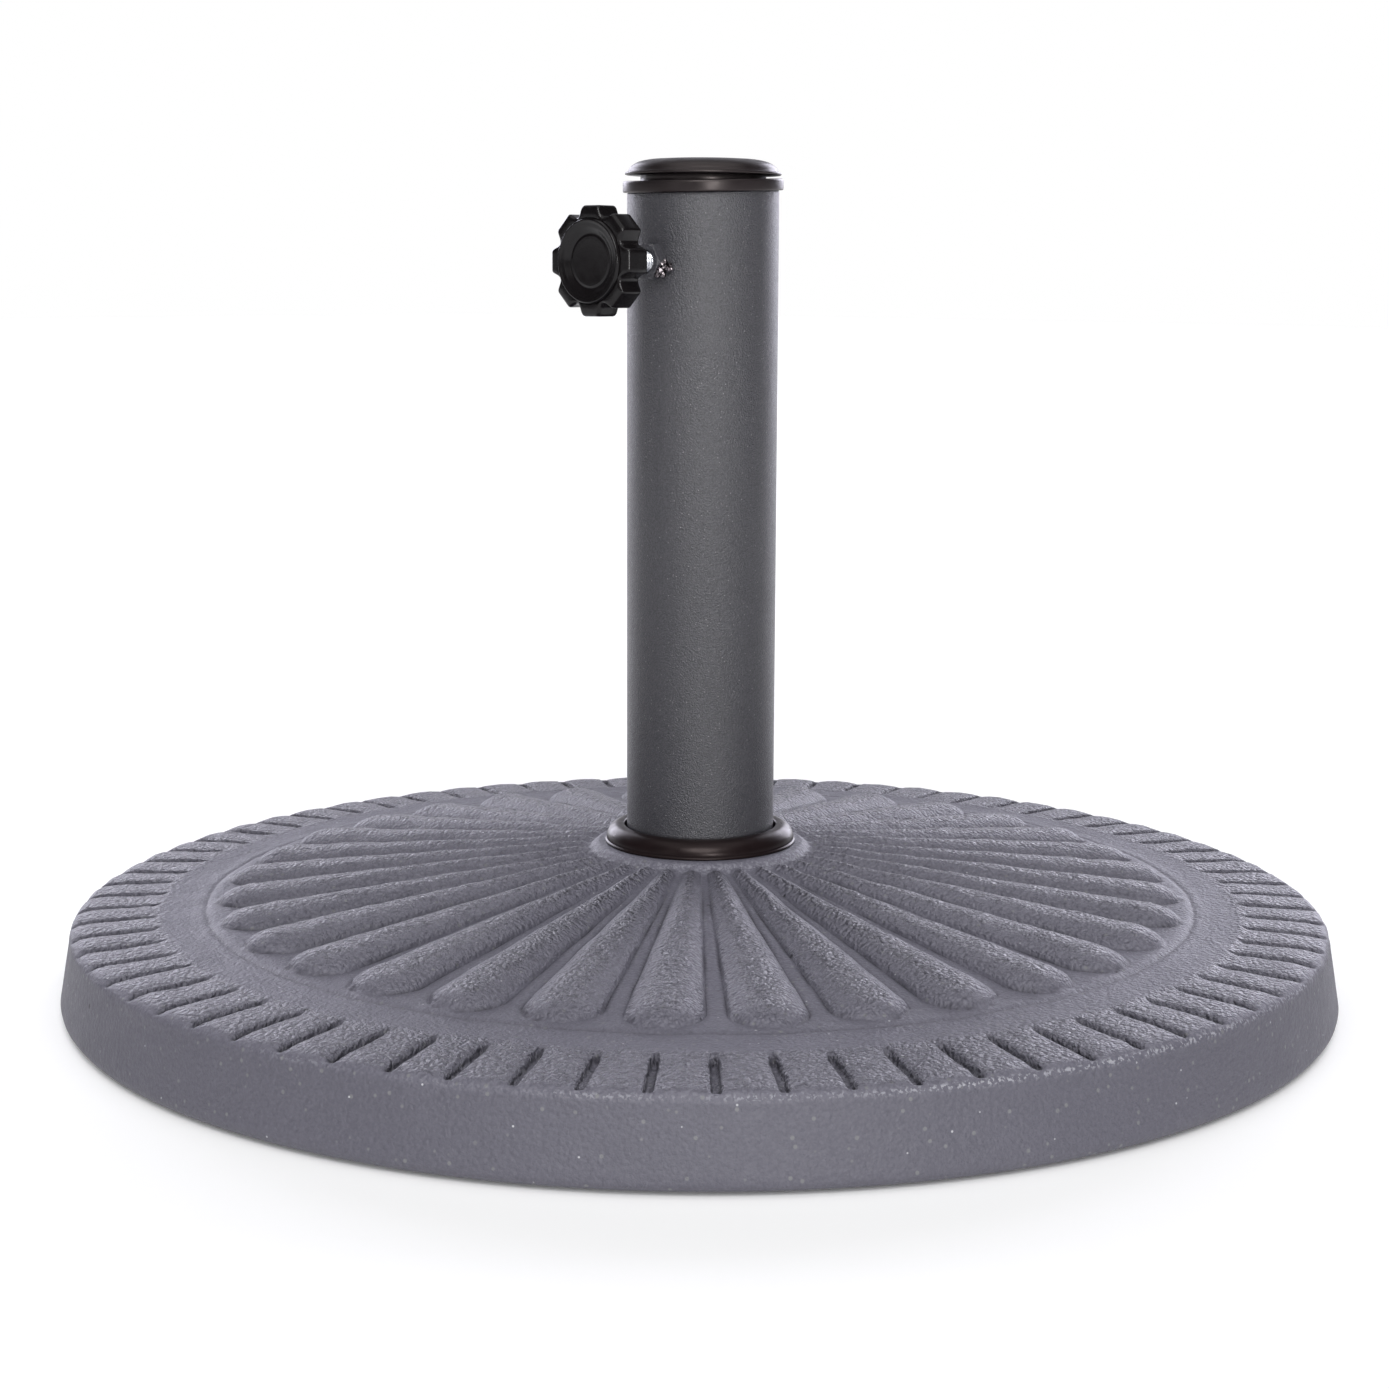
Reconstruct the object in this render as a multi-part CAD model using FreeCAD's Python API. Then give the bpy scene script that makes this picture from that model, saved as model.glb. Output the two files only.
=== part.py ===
import FreeCAD, Part
import math
import os

# Parasol base: a cast disc with a steel post, a reducer sleeve with its cap, and a clamp knob.
# Millimetres. Origin on the ground under the centre of the base, +Z up along the post.
# The clamp knob points along -Y. Angles of the cast pattern are counted from -Y towards +X.

V = FreeCAD.Vector
UP = V(0, 0, 1)

# ---- casting ----
BASE_R = 245.0
BASE_BOTTOM = 1.5
FOOT_EDGE_ROUND = 3.5
WALL_TOP_R = 241.0
WALL_TOP = 25.5
RIM_R = 233.5
RIM_TOP = 33.0
RIM_ROUND = 7.5
RIM_CREST = 33.6
SLOT_INNER_R = 208.0
STEP_R = 193.0
STEP_TOP = 34.6
STEP_HALF_WIDTH = 2.0
STEP_DIP = 0.25
FLUTE_FLOOR_R = 187.0
FLUTE_FLOOR = 36.4
BOSS_R = 41.5
BOSS_TOP = 55.0
BOSS_EDGE = 2.0
BOSS_FOOT_R = 43.0

# ---- flutes and rim slots ----
FLUTE_COUNT = 32
FLUTE_PHASE = 4.5
FLUTE_START_R = 38.5
FLUTE_END_R = 173.0
FLUTE_HALF_WIDTH = 13.0
FLUTE_HEIGHT = 5.4
SLOT_COUNT = 72
SLOT_PHASE = 3.25
SLOT_WIDTH = 4.6
SLOT_DEPTH = 3.2
SLOT_FOOT = 24.5
SLOT_INNER_RUN = 3.0
SLOT_OUTER_RUN = 4.0
SLOT_BOTTOM_ROUND = 1.84

# ---- underside ----
PAD_COUNT = 6
PAD_R = 12.0
PAD_CIRCLE_R = 222.0
PAD_DEPTH = 3.0
PAD_ROUND = 0.8
PAD_FIT = 0.1

# ---- post ----
TUBE_R = 28.6
TUBE_WALL = 1.5
TUBE_BOTTOM = 30.0
TUBE_TOP = 304.5
SOCKET_GAP = 0.5
PLATE_THICK = 5.0
PLATE_LIFT = 3.0
WELD_LEG = 2.4

# ---- base bolt, M10 ----
BOLT_R = 5.0
BOLT_HOLE_R = 5.5
BOLT_HEAD_AF = 17.0
BOLT_HEAD = 6.4
BOLT_LENGTH = 40.0
BOLT_HEAD_BEVEL = 1.3
BOLT_HEAD_FACE_R = 8.0
NUT10_THICK = 8.0
POCKET_R = 27.0
POCKET_TOP = 15.0
WASHER_R = 22.0
WASHER_THICK = 2.5
SPRING_WASHER_R = 9.0
SPRING_WASHER_THICK = 2.4
SPRING_WASHER_SPLIT = 1.6
SPRING_WASHER_FIT = 0.2

# ---- trim ring ----
RING_R = 37.1
RING_BORE_R = 29.5
RING_HEIGHT = 7.0
RING_FOOT = 1.4
RING_CURVE_R = 5.6
RING_LIP_BEVEL = 0.5

# ---- reducer sleeve ----
SLEEVE_R = 26.7
SLEEVE_BORE_R = 24.5
SLEEVE_LENGTH = 56.0
SLEEVE_LEAD = 2.0
SLEEVE_LEAD_DEPTH = 0.8
MOUTH_BEVEL = 0.6
MOUTH_R = 25.0
MOUTH_DEPTH = 14.5
FLANGE_R = 30.2
FLANGE_THICK = 3.7
FLANGE_ROUND = 1.2
SLEEVE_SLOT = 13.0

# ---- top cap ----
CAP_R = 29.4
CAP_GAP = 1.9
CAP_BRIM = 1.1
CAP_DOME_R = 28.3
CAP_DOME = 5.0
CAP_FLAT_R = 20.0
CAP_NECK_R = 23.6
CAP_PLUG_R = 24.6
CAP_PLUG_LENGTH = 14.4
CAP_WALL = 2.2
CAP_FLAT_DROP = 0.25
CAP_SHOULDER = 2.1
CAP_LIP_BEVEL = 0.3
CAP_NECK_ABOVE = 1.2
CAP_PLUG_BELOW = 2.2

# ---- clamp knob, M8 x 1.25 ----
KNOB_Z = 278.0
SCREW_R = 3.95
THREAD_R = 4.0
TUBE_HOLE_R = 4.6
NUT8_AF = 13.0
NUT8_FACE = 32.3
TACK_R = 2.3
TIP = 24.85
TIP_PAD_R = 3.0
TIP_PAD_THICK = 2.0
TIP_PIN_R = 1.4
TIP_PIN_LENGTH = 4.0
TIP_GAP = 0.1
PIN_CLEARANCE = 0.05
HUB_BACK = 37.7
HUB_R = 6.1
HUB_ROOT_R = 7.4
LOBE_BACK = 50.9
LOBE_FRONT = 61.2
LOBE_COUNT = 8
LOBE_R = 20.2
LOBE_VALLEY_R = 16.9
LOBE_TIP_WIDTH = 7.4
LOBE_BEVEL = 0.9
HEAD_AF = 13.0
HEAD_BACK = 54.9
HEAD_THICK = 5.2
FACE_R = 15.4
FACE_BACK = 60.2
FACE_FRONT = 62.0
DISH_RIM_R = 12.6
DISH_R = 9.6
DISH_DEPTH = 0.9


def outline(*steps):
    """Closed wire in the XZ plane: (r, z) is a straight run, ((r, z), (r, z)) an arc through a point."""
    def point(p):
        return V(p[0], 0, p[1])

    here = point(steps[0])
    edges = []
    for step in steps[1:]:
        if isinstance(step[0], tuple):
            end = point(step[1])
            edges.append(Part.Arc(here, point(step[0]), end).toShape())
        else:
            end = point(step)
            edges.append(Part.makeLine(here, end))
        here = end
    if here.distanceToPoint(point(steps[0])) > 1e-6:
        edges.append(Part.makeLine(here, point(steps[0])))
    return Part.Wire(edges)


def turned(*steps):
    """Solid of revolution about Z."""
    return Part.Face(outline(*steps)).revolve(V(0, 0, 0), UP, 360)


def cylinder(r, z0, z1):
    return Part.makeCylinder(r, z1 - z0, V(0, 0, z0), UP)


def hexagon(across_flats, z0, z1, turn=0.0):
    """Hexagonal prism about Z, a corner on +X before it is turned."""
    r = across_flats / math.sqrt(3)
    corners = [math.radians(60 * k + turn) for k in range(7)]
    wire = Part.makePolygon([V(r * math.cos(a), r * math.sin(a), z0) for a in corners])
    return Part.Face(wire).extrude(V(0, 0, z1 - z0))


def around(shape, degrees):
    """Copy turned about Z."""
    copy = shape.copy()
    copy.rotate(V(0, 0, 0), UP, degrees)
    return copy


def on_knob_axis(shape):
    """Lay a shape made about Z on the knob's axis: its +Z becomes -Y, and its +Y becomes up."""
    shape.rotate(V(0, 0, 0), V(1, 0, 0), 90)
    shape.translate(V(0, 0, KNOB_Z))
    return shape


def quarter(cx, cz, r, degrees):
    """Point on a circle about (cx, cz) in an outline."""
    a = math.radians(degrees)
    return (cx + r * math.cos(a), cz + r * math.sin(a))


# ---- casting ----
def casting_blank():
    """Disc with a drafted wall, a rounded rim, a shallow step and a domed middle."""
    r = FOOT_EDGE_ROUND
    return turned(
        (0, BASE_BOTTOM),
        (BASE_R - r, BASE_BOTTOM),
        (quarter(BASE_R - r, BASE_BOTTOM + r, r, -45), (BASE_R, BASE_BOTTOM + r)),
        (WALL_TOP_R, WALL_TOP),
        (quarter(WALL_TOP_R - RIM_ROUND, WALL_TOP, RIM_ROUND, 45), (RIM_R, RIM_TOP)),
        (SLOT_INNER_R, RIM_CREST),
        (STEP_R + STEP_HALF_WIDTH, STEP_TOP),
        ((STEP_R, STEP_TOP - STEP_DIP), (STEP_R - STEP_HALF_WIDTH, STEP_TOP)),
        (FLUTE_FLOOR_R, FLUTE_FLOOR),
        (BOSS_FOOT_R, BOSS_TOP - BOSS_EDGE),
        (BOSS_R, BOSS_TOP),
        (0, BOSS_TOP),
    )


def rim_slot():
    """Round-bottomed cutter along +X, whose floor falls away over the rounded rim."""
    floor = RIM_CREST - SLOT_DEPTH
    above = RIM_CREST + 5
    beyond = BASE_R + 3
    ramp = SLOT_INNER_RUN / 3
    side = Part.makePolygon([
        V(SLOT_INNER_R, 0, above),
        V(SLOT_INNER_R + ramp, 0, floor + ramp),
        V(SLOT_INNER_R + SLOT_INNER_RUN, 0, floor),
        V(RIM_R - SLOT_OUTER_RUN, 0, floor),
        V(WALL_TOP_R + 0.5, 0, SLOT_FOOT),
        V(beyond, 0, SLOT_FOOT),
        V(beyond, 0, above),
        V(SLOT_INNER_R, 0, above),
    ])
    side.translate(V(0, -SLOT_WIDTH / 2, 0))
    cutter = Part.Face(side).extrude(V(0, SLOT_WIDTH, 0))
    along = [e for e in cutter.Edges if e.BoundBox.YLength < 1e-6]
    low = [e for e in along if e.BoundBox.ZMax < floor + ramp + 0.1]
    return cutter.makeFillet(SLOT_BOTTOM_ROUND, low)


def flute():
    """Tapered half-round bar with a ball end, its axis a little under the dome, along +X."""
    slope = (BOSS_TOP - BOSS_EDGE - FLUTE_FLOOR) / (FLUTE_FLOOR_R - BOSS_FOOT_R)
    ball = (FLUTE_HALF_WIDTH ** 2 + FLUTE_HEIGHT ** 2) / (2 * FLUTE_HEIGHT)
    floor_at_end = FLUTE_FLOOR + slope * (FLUTE_FLOOR_R - FLUTE_END_R)
    end = V(FLUTE_END_R, 0, floor_at_end + FLUTE_HEIGHT - ball)
    apex = V(0, 0, FLUTE_FLOOR + slope * FLUTE_FLOOR_R)
    axis = end - apex
    half_angle = math.asin(ball / axis.Length)
    inner = FLUTE_START_R
    outer = axis.Length - ball * math.sin(half_angle)
    cone = Part.makeCone(
        inner * math.tan(half_angle),
        outer * math.tan(half_angle),
        outer - inner,
        apex + axis * (inner / axis.Length),
        axis,
    )
    return cone.fuse(Part.makeSphere(ball, end)).removeSplitter()


def base_casting():
    slot = rim_slot()
    bar = flute()
    slots = [around(slot, SLOT_PHASE - 90 + 360 / SLOT_COUNT * k) for k in range(SLOT_COUNT)]
    flutes = [around(bar, FLUTE_PHASE - 90 + 360 / FLUTE_COUNT * k) for k in range(FLUTE_COUNT)]
    holes = [
        cylinder(POCKET_R, 0, POCKET_TOP),
        cylinder(BOLT_HOLE_R, 0, BOSS_TOP),
        cylinder(TUBE_R + SOCKET_GAP, TUBE_BOTTOM, BOSS_TOP + 5),
    ]
    pads = [pad_blank(k, PAD_R + PAD_FIT) for k in range(PAD_COUNT)]
    casting = casting_blank().cut(slots).fuse(flutes)
    return casting.cut(holes + pads)


# ---- pieces under the base ----
def pad_blank(k, r):
    """One pad's disc, from its socket's roof down to the ground."""
    a = math.radians(360 / PAD_COUNT * (k + 0.5))
    at = V(PAD_CIRCLE_R * math.cos(a), PAD_CIRCLE_R * math.sin(a), 0)
    return Part.makeCylinder(r, BASE_BOTTOM + PAD_DEPTH, at, UP)


def foot_pads():
    pads = []
    for k in range(PAD_COUNT):
        pad = pad_blank(k, PAD_R)
        rim = [e for e in pad.Edges if e.BoundBox.ZMax < 1e-6]
        pads.append(pad.makeFillet(PAD_ROUND, rim))
    return Part.makeCompound(pads)


def base_washer():
    return cylinder(WASHER_R, POCKET_TOP - WASHER_THICK, POCKET_TOP).cut(
        cylinder(BOLT_HOLE_R, 0, POCKET_TOP)
    )


def spring_washer():
    top = POCKET_TOP - WASHER_THICK
    ring = cylinder(SPRING_WASHER_R, top - SPRING_WASHER_THICK, top)
    split = Part.makeBox(SPRING_WASHER_R, SPRING_WASHER_SPLIT, top)
    return ring.cut([cylinder(BOLT_R + SPRING_WASHER_FIT, 0, top), split])


def base_bolt():
    seat = POCKET_TOP - WASHER_THICK - SPRING_WASHER_THICK
    head = hexagon(BOLT_HEAD_AF, seat - BOLT_HEAD, seat)
    bevel = turned(
        (0, seat - BOLT_HEAD),
        (BOLT_HEAD_FACE_R, seat - BOLT_HEAD),
        (BOLT_HEAD_AF * 0.6, seat - BOLT_HEAD + BOLT_HEAD_BEVEL),
        (BOLT_HEAD_AF * 0.6, seat),
        (0, seat),
    )
    shank = cylinder(BOLT_R, seat, seat + BOLT_LENGTH)
    tip = [e for e in shank.Edges if e.BoundBox.ZMin > seat + BOLT_LENGTH - 0.1]
    return head.common(bevel).fuse(shank.makeChamfer(1.0, tip))


# ---- post ----
def tube():
    post = cylinder(TUBE_R, TUBE_BOTTOM, TUBE_TOP)
    bore = cylinder(TUBE_R - TUBE_WALL, 0, TUBE_TOP + 1)
    hole = on_knob_axis(Part.makeCylinder(TUBE_HOLE_R, TUBE_R + 5))
    return post.cut([bore, hole])


def end_plate():
    z = TUBE_BOTTOM + PLATE_LIFT
    return cylinder(TUBE_R - TUBE_WALL, z, z + PLATE_THICK).cut(cylinder(BOLT_HOLE_R, 0, z + 10))


def end_plate_weld():
    z = TUBE_BOTTOM + PLATE_LIFT
    wall = TUBE_R - TUBE_WALL
    return turned((wall, z), (wall - WELD_LEG, z), (wall, z - WELD_LEG))


def end_plate_nut():
    z = TUBE_BOTTOM + PLATE_LIFT + PLATE_THICK
    return hexagon(BOLT_HEAD_AF, z, z + NUT10_THICK).cut(cylinder(BOLT_R, 0, z + 10))


def end_plate_nut_welds():
    """Three tack welds where the nut meets the end plate."""
    z = TUBE_BOTTOM + PLATE_LIFT + PLATE_THICK
    nut = hexagon(BOLT_HEAD_AF, z, z + NUT10_THICK)
    ball = Part.makeSphere(TACK_R, V(0, BOLT_HEAD_AF / 2, z))
    tack = ball.cut([nut, cylinder(TUBE_R, z - PLATE_THICK, z)])
    return Part.makeCompound([around(tack, 120 * k) for k in range(3)])


def knob_nut():
    nut = on_knob_axis(hexagon(NUT8_AF, TUBE_R - 3, NUT8_FACE))
    bore = on_knob_axis(cylinder(THREAD_R, 0, NUT8_FACE + 1))
    return nut.cut([bore, cylinder(TUBE_R, TUBE_BOTTOM, TUBE_TOP)])


def knob_nut_welds():
    """Two tack welds, one at each side corner of the nut."""
    nut = on_knob_axis(hexagon(NUT8_AF, 0, NUT8_FACE))
    post = cylinder(TUBE_R, TUBE_BOTTOM, TUBE_TOP)
    tacks = []
    for side in (-1, 1):
        x = side * NUT8_AF / math.sqrt(3)
        ball = Part.makeSphere(TACK_R, V(x, -math.sqrt(TUBE_R ** 2 - x ** 2), KNOB_Z - 0.5))
        tacks += ball.cut([nut, post]).Solids
    return Part.makeCompound(tacks)


def trim_ring():
    """Collar with a quarter-round top and a thin lip towards the post."""
    z = BOSS_TOP
    curve_r = RING_R - RING_CURVE_R
    return turned(
        (RING_BORE_R, z),
        (RING_R, z),
        (RING_R, z + RING_FOOT),
        (quarter(curve_r, z + RING_FOOT, RING_CURVE_R, 45), (curve_r, z + RING_HEIGHT)),
        (RING_BORE_R + RING_LIP_BEVEL, z + RING_HEIGHT),
        (RING_BORE_R, z + RING_HEIGHT - RING_LIP_BEVEL),
    )


# ---- reducer sleeve and cap ----
def reducer_sleeve():
    top = TUBE_TOP + FLANGE_THICK
    bottom = TUBE_TOP - SLEEVE_LENGTH
    r = FLANGE_ROUND
    body = turned(
        (SLEEVE_BORE_R, bottom),
        (SLEEVE_R - SLEEVE_LEAD_DEPTH, bottom),
        (SLEEVE_R, bottom + SLEEVE_LEAD),
        (SLEEVE_R, TUBE_TOP),
        (FLANGE_R - r, TUBE_TOP),
        (quarter(FLANGE_R - r, TUBE_TOP + r, r, -45), (FLANGE_R, TUBE_TOP + r)),
        (FLANGE_R, top - r),
        (quarter(FLANGE_R - r, top - r, r, 45), (FLANGE_R - r, top)),
        (MOUTH_R + MOUTH_BEVEL, top),
        (MOUTH_R, top - MOUTH_BEVEL),
        (MOUTH_R, top - MOUTH_DEPTH),
        (SLEEVE_BORE_R, top - MOUTH_DEPTH),
    )
    half = SLEEVE_SLOT / 2
    slot = Part.makeBox(SLEEVE_SLOT, 40, KNOB_Z - bottom + 1, V(-half, -40, bottom - 1))
    slot_end = on_knob_axis(Part.makeCylinder(half, 40))
    return body.cut([slot, slot_end])


def top_cap():
    seat = TUBE_TOP + FLANGE_THICK
    brim = seat + CAP_GAP
    lip = brim + CAP_BRIM
    crown = lip + CAP_DOME
    bottom = seat - CAP_PLUG_LENGTH
    shoulder = (CAP_DOME_R - CAP_SHOULDER, lip + CAP_DOME * 0.62)
    hollow_r = CAP_NECK_R - CAP_WALL
    return turned(
        (0, crown),
        (CAP_FLAT_R, crown - CAP_FLAT_DROP),
        (shoulder, (CAP_DOME_R, lip)),
        (CAP_R - CAP_LIP_BEVEL, lip - 0.2),
        (CAP_R, lip - 0.5),
        (CAP_R, brim + CAP_LIP_BEVEL),
        (CAP_R - CAP_LIP_BEVEL, brim),
        (CAP_NECK_R, brim),
        (CAP_NECK_R, seat - CAP_NECK_ABOVE),
        (CAP_PLUG_R, seat - CAP_PLUG_BELOW),
        (CAP_PLUG_R, bottom + 1.5),
        (CAP_PLUG_R - 0.7, bottom),
        (hollow_r, bottom),
        (hollow_r, crown - CAP_WALL - 0.6),
        (0, crown - CAP_WALL),
    )


# ---- clamp knob ----
def screw_tip_pad():
    pad = cylinder(TIP_PAD_R, TIP, TIP + TIP_PAD_THICK)
    face = [e for e in pad.Edges if e.BoundBox.ZMax < TIP + 1e-6]
    pin = cylinder(TIP_PIN_R, TIP, TIP + TIP_PAD_THICK + TIP_PIN_LENGTH)
    return on_knob_axis(pad.makeChamfer(0.5, face).fuse(pin))


def clamp_screw():
    start = TIP + TIP_PAD_THICK + TIP_GAP
    shank = cylinder(SCREW_R, start, HEAD_BACK)
    tip = [e for e in shank.Edges if e.BoundBox.ZMax < start + 1e-6]
    head = hexagon(HEAD_AF, HEAD_BACK, HEAD_BACK + HEAD_THICK)
    socket = cylinder(TIP_PIN_R + PIN_CLEARANCE, start - 1, start + TIP_PIN_LENGTH + 0.2)
    return on_knob_axis(shank.makeChamfer(0.8, tip).fuse(head).cut(socket))


def lobed_disc():
    """Disc with flat-topped lobes and shallow scallops, one lobe upright."""
    half_tip = math.degrees(LOBE_TIP_WIDTH / 2 / LOBE_R)
    pitch = 360 / LOBE_COUNT

    def at(r, degrees):
        a = math.radians(degrees)
        return V(r * math.cos(a), r * math.sin(a), LOBE_BACK)

    edges = []
    for k in range(LOBE_COUNT):
        middle = 90 + pitch * k
        tip_end = at(LOBE_R, middle + half_tip)
        next_tip = at(LOBE_R, middle + pitch - half_tip)
        edges.append(Part.makeLine(at(LOBE_R, middle - half_tip), tip_end))
        edges.append(Part.Arc(tip_end, at(LOBE_VALLEY_R, middle + pitch / 2), next_tip).toShape())
    disc = Part.Face(Part.Wire(edges)).extrude(V(0, 0, LOBE_FRONT - LOBE_BACK))
    rims = [e for e in disc.Edges if e.BoundBox.ZLength < 1e-6]
    return disc.makeChamfer(LOBE_BEVEL, rims)


def knob_grip():
    hub = turned(
        (0, HUB_BACK),
        (HUB_R - 0.5, HUB_BACK),
        (HUB_R, HUB_BACK + 0.5),
        (HUB_R + 0.3, LOBE_BACK - 4),
        ((HUB_ROOT_R, LOBE_BACK - 1.2), (HUB_ROOT_R + 3, LOBE_BACK)),
        (HUB_ROOT_R + 3, LOBE_BACK + 1),
        (0, LOBE_BACK + 1),
    )
    grip = lobed_disc().fuse(hub)
    return on_knob_axis(grip.cut([
        cylinder(FACE_R + 0.05, FACE_BACK, LOBE_FRONT + 1),
        cylinder(SCREW_R, 0, HEAD_BACK),
        hexagon(HEAD_AF, HEAD_BACK, FACE_BACK),
    ]))


def knob_face():
    """Round insert: a raised rim, then a slope down to a shallow dish."""
    front = FACE_FRONT
    return on_knob_axis(turned(
        (0, FACE_BACK),
        (FACE_R, FACE_BACK),
        (FACE_R, front - 0.5),
        (FACE_R - 0.5, front),
        (DISH_RIM_R, front),
        (DISH_R + 0.5, front - DISH_DEPTH + 0.2),
        (DISH_R, front - DISH_DEPTH),
        (0, front - DISH_DEPTH),
    ))


PARTS = [
    base_casting,
    foot_pads,
    base_washer,
    spring_washer,
    base_bolt,
    tube,
    end_plate,
    end_plate_weld,
    end_plate_nut,
    end_plate_nut_welds,
    knob_nut,
    knob_nut_welds,
    trim_ring,
    reducer_sleeve,
    top_cap,
    screw_tip_pad,
    clamp_screw,
    knob_grip,
    knob_face,
]

os.makedirs("parts", exist_ok=True)
for make in PARTS:
    shape = make()
    name = make.__name__
    if not shape.isValid():
        raise ValueError(f"{name} is not a valid solid")
    shape.exportStep(f"parts/{name}.step")
    print(f"{name}: {len(shape.Solids)} solid(s), {shape.Volume / 1000:.2f} cm3")
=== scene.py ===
import math

import bpy
import numpy as np
from mathutils import Matrix, Vector, noise


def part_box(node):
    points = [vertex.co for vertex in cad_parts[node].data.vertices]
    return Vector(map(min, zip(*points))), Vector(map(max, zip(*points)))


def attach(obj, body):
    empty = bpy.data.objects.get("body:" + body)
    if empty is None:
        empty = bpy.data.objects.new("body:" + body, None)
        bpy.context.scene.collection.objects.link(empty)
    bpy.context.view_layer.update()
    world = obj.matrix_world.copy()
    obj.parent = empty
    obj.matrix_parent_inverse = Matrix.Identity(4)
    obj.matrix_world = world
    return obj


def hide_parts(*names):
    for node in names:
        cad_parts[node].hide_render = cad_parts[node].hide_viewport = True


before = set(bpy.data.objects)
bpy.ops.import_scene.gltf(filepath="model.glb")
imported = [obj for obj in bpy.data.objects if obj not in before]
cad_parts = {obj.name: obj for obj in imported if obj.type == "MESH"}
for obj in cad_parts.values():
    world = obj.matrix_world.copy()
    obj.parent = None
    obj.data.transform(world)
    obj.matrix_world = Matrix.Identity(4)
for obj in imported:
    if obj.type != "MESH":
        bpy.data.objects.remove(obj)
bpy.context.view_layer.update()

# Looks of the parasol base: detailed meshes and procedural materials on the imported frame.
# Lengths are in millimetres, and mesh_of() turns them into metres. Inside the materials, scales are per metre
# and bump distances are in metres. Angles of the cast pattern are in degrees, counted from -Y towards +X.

MM = 0.001


class Span:
    """Box of a CAD node in millimetres: its radius about Z, and its lowest and highest levels."""

    def __init__(self, node):
        low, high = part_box(node)
        self.low = [v / MM for v in low]
        self.high = [v / MM for v in high]
        self.r = (self.high[0] - self.low[0]) / 2
        self.z0 = self.low[2]
        self.z1 = self.high[2]


casting = Span("base_casting")
tube = Span("tube")
ring = Span("trim_ring")
sleeve = Span("reducer_sleeve")
cap = Span("top_cap")
grip = Span("knob_grip")
face = Span("knob_face")
nut = Span("knob_nut")
screw = Span("clamp_screw")
tip_pad = Span("screw_tip_pad")
pads = Span("foot_pads")
washer = Span("base_washer")
KNOB_Z = (grip.z0 + grip.z1) / 2


# ---- mesh helpers ----
def rounded(corners, steps=4):
    """Polyline of (r, z) or (r, z, radius) corners, with an arc-like bend where a corner has a radius."""
    points = [np.array(c[:2], float) for c in corners]
    line = []
    for i, corner in enumerate(corners):
        radius = corner[2] if len(corner) > 2 else 0
        if radius == 0 or i in (0, len(corners) - 1):
            line.append(points[i])
            continue
        before = points[i - 1] - points[i]
        after = points[i + 1] - points[i]
        reach = min(radius, 0.49 * np.linalg.norm(before), 0.49 * np.linalg.norm(after))
        start = points[i] + before / np.linalg.norm(before) * reach
        end = points[i] + after / np.linalg.norm(after) * reach
        for t in np.linspace(0, 1, steps + 1):
            line.append((1 - t) ** 2 * start + 2 * t * (1 - t) * points[i] + t * t * end)
    return [tuple(p) for p in line]


def skin(rings, loop=False):
    """(vertices, faces) through rings of points.

    A ring of one point closes an end, and loop joins the last ring to the first.
    """
    verts = []
    starts = []
    for points in rings:
        starts.append(len(verts))
        verts.extend(tuple(p) for p in points)
    faces = []
    pairs = list(zip(range(len(rings) - 1), range(1, len(rings))))
    if loop:
        pairs.append((len(rings) - 1, 0))
    for a, b in pairs:
        na, nb = len(rings[a]), len(rings[b])
        n = max(na, nb)
        for j in range(n):
            k = (j + 1) % n
            if na == 1:
                faces.append((starts[a], starts[b] + k, starts[b] + j))
            elif nb == 1:
                faces.append((starts[a] + j, starts[a] + k, starts[b]))
            else:
                faces.append((starts[a] + j, starts[a] + k, starts[b] + k, starts[b] + j))
    return verts, faces


def turned(profile, segments=128, at=(0, 0)):
    """Rings of a profile of (r, z) points turned about the vertical line through at."""
    rings = []
    for r, z in profile:
        if r < 1e-6:
            rings.append([(at[0], at[1], z)])
            continue
        angles = 2 * math.pi * np.arange(segments) / segments
        rings.append([(at[0] + r * math.cos(a), at[1] + r * math.sin(a), z) for a in angles])
    return rings


def outlined(rows, angles):
    """Rings about Z from rows of (z, radii), with one radius for each angle in radians."""
    return [[(r * math.cos(a), r * math.sin(a), z) for r, a in zip(radii, angles)] for z, radii in rows]


def on_knob_axis(rings):
    """Lay rings made about Z on the knob's axis: +Z becomes -Y, and +Y becomes up."""
    return [[(x, -z, y + KNOB_Z) for x, y, z in points] for points in rings]


def turned_over(faces):
    """The same faces, facing the other way."""
    return [tuple(reversed(f)) for f in faces]


def joined(parts):
    """One vertex list and one face list from several."""
    verts, faces = [], []
    for part_verts, part_faces in parts:
        faces += [tuple(i + len(verts) for i in f) for f in part_faces]
        verts += part_verts
    return verts, faces


def linked(name, data):
    """New object of the scene."""
    made = bpy.data.objects.new(name, data)
    bpy.context.scene.collection.objects.link(made)
    return made


def mesh_of(name, verts, faces):
    """Mesh in metres from vertices in millimetres."""
    mesh = bpy.data.meshes.new(name)
    mesh.from_pydata([(x * MM, y * MM, z * MM) for x, y, z in verts], [], faces)
    return mesh


def piece(name, verts, faces, material, slot, body, *nodes, sharp=40):
    """Object that rides a body and stands for CAD nodes, shaded smooth but for bends past sharp degrees."""
    mesh = mesh_of(name, verts, faces)
    mesh.validate()
    mesh.update()
    mesh.shade_smooth()
    mesh.set_sharp_from_angle(angle=math.radians(sharp))
    mesh.materials.append(material)
    made = linked(name, mesh)
    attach(made, body)
    if nodes:
        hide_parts(*nodes)
    return made


def smooth_step(x):
    """0 up to 0, 1 from 1 on, and a smooth step between."""
    x = np.clip(x, 0, 1)
    return x * x * (3 - 2 * x)


def bell(x):
    """1 at 0, falling smoothly to 0.37 at -1 and 1."""
    return np.exp(-x ** 2)


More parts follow.
